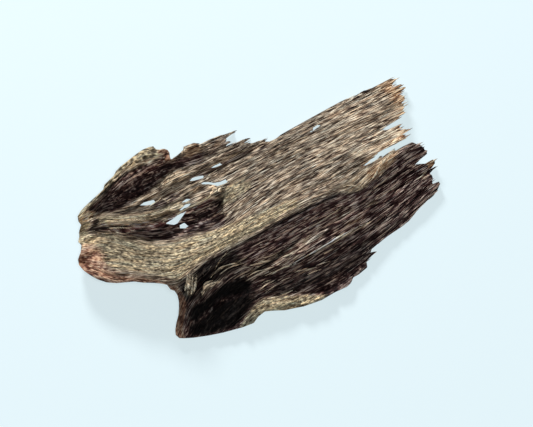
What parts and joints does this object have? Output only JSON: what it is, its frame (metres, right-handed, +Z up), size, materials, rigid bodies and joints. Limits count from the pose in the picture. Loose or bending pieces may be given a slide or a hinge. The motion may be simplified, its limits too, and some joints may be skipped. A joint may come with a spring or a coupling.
{
  "type": "agarwood piece",
  "caption": "Torn and weathered piece of agarwood: a thin fibrous sheet folded along its grain, with splintered ends and slots, lying hollow side down on a surface.",
  "frame": {"origin": "Middle of the bounding box in X and Y, on the surface that the piece rests on.", "axes": "+X runs along the grain towards the splintered ends, +Y across the grain towards the pale plate's edge, and +Z up from the surface that the piece rests on."},
  "size_m": [0.14, 0.085, 0.0189],
  "materials": {
    "wood": "rough"
  },
  "bodies": {
    "root": {"agarwood_piece": "wood"}
  },
  "joints": []
}
